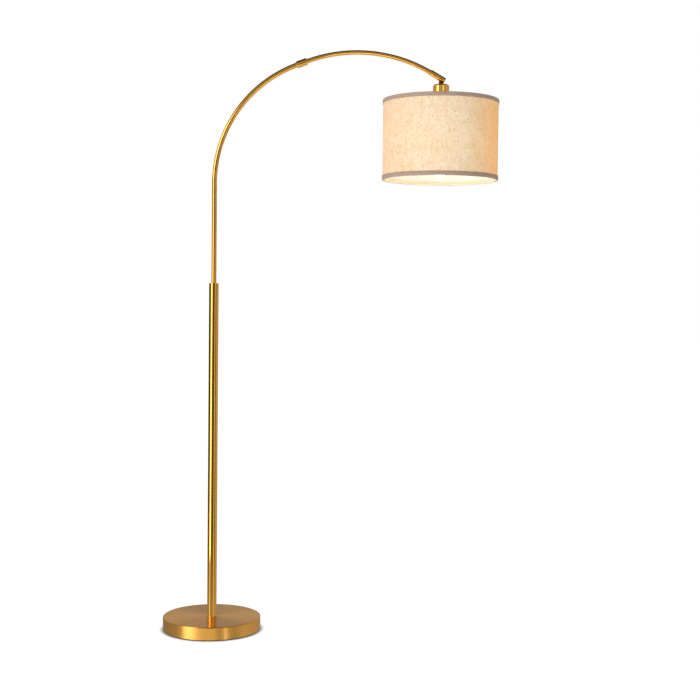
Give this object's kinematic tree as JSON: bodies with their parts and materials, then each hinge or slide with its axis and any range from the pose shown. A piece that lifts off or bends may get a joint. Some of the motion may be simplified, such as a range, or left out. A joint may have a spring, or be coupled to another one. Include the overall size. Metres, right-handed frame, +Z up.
{
  "type": "arc floor lamp",
  "caption": "Arc floor lamp: round weighted base, straight pole, arched tube arm that slides and swivels, and a linen drum shade on a tilting knuckle with a screw bulb.",
  "frame": {"origin": "on the floor, at the middle of the foot, on the pole's axis", "axes": "+Z up along the pole, +X from the pole towards the shade, +Y towards the back, where the cord enters"},
  "size_m": [0.859, 0.3, 1.507],
  "materials": {
    "satin_brass": "satin brushed brass, lacquered",
    "dark_bronze": "dark olive bronze",
    "cast_iron": "as cast",
    "zinc_steel": "zinc plated",
    "white_wire": "white powder coat",
    "felt": "black felt",
    "black_nylon": "moulded nylon",
    "holder_plastic": "moulded",
    "ceramic": "glazed ceramic",
    "contact_brass": "plain",
    "lead_sheath": "soft sheath",
    "linen": "slubbed linen",
    "shade_lining": "smooth white lining",
    "trim_tape": "woven tape",
    "opal_bulb": "opal",
    "bulb_plastic": "moulded",
    "nickel": "nickel plated",
    "black_glass": "black"
  },
  "bodies": {
    "stand": {"foot_pad": "felt", "base_plate": "zinc_steel", "base_weight": "cast_iron", "base_shell": "satin_brass", "base_stud": "zinc_steel", "base_washer": "zinc_steel", "base_nut": "zinc_steel", "cord_gland": "black_nylon", "base_lead": "lead_sheath", "pole_foot_plug": "zinc_steel", "pole_tube": "satin_brass", "pole_top_bush": "black_nylon", "pole_lead": "lead_sheath"},
    "arm_carrier": {"arm_guide_plug": "black_nylon"},
    "arm": {"arm_lower_tube": "satin_brass", "arm_joint_spigot": "zinc_steel", "arm_collar": "satin_brass", "arm_upper_tube": "satin_brass", "arm_lead": "lead_sheath", "end_sleeve": "satin_brass", "pivot_screw": "zinc_steel", "pivot_washers": "black_nylon"},
    "head": {"knuckle": "dark_bronze", "stem_coupling": "zinc_steel", "socket_nipple": "zinc_steel", "nipple_nut": "zinc_steel", "socket_cup": "satin_brass", "holder_cap": "holder_plastic", "holder_barrel": "holder_plastic", "holder_insert": "ceramic", "holder_contact": "contact_brass", "holder_screw_shell": "contact_brass", "head_lead": "lead_sheath", "shade_ring": "holder_plastic", "shade_spider": "white_wire", "shade_top_hoop": "white_wire", "shade_bottom_hoop": "white_wire", "shade_liner": "shade_lining", "shade_fabric": "linen", "shade_trim_top": "trim_tape", "shade_trim_bottom": "trim_tape"},
    "bulb_tip": {"bulb_contact": "nickel"},
    "bulb": {"bulb_globe": "opal_bulb", "bulb_housing": "bulb_plastic", "bulb_cap": "nickel", "bulb_insulator": "black_glass"}
  },
  "joints": [
    {"name": "arm_height", "type": "slide", "parent": "stand", "child": "arm_carrier", "axis": [0, 0, 1], "range_m": [-0.2, 0.15], "deforming": ["pole_lead"]},
    {"name": "arm_swivel", "type": "hinge", "parent": "arm_carrier", "child": "arm", "pos_m": [0, 0, 0.5961], "axis": [0, 0, 1], "range_deg": [-170, 170]},
    {"name": "head_tilt", "type": "hinge", "parent": "arm", "child": "head", "pos_m": [0.58201, 0, 1.43596], "axis": [0, -1, 0], "range_deg": [-35, 60]},
    {"name": "bulb_travel", "type": "slide", "parent": "head", "child": "bulb_tip", "axis": [0, 0, -1], "range_m": [0, 0.01825]},
    {"name": "bulb_turn", "type": "hinge", "parent": "bulb_tip", "child": "bulb", "pos_m": [0.58201, 0, 1.23596], "axis": [0, 0, -1], "range_deg": [0, 1800]}
  ],
  "couplings": [
    {"joint": "bulb_travel", "follows": "bulb_turn", "m_per_rad": 0.00057757}
  ]
}
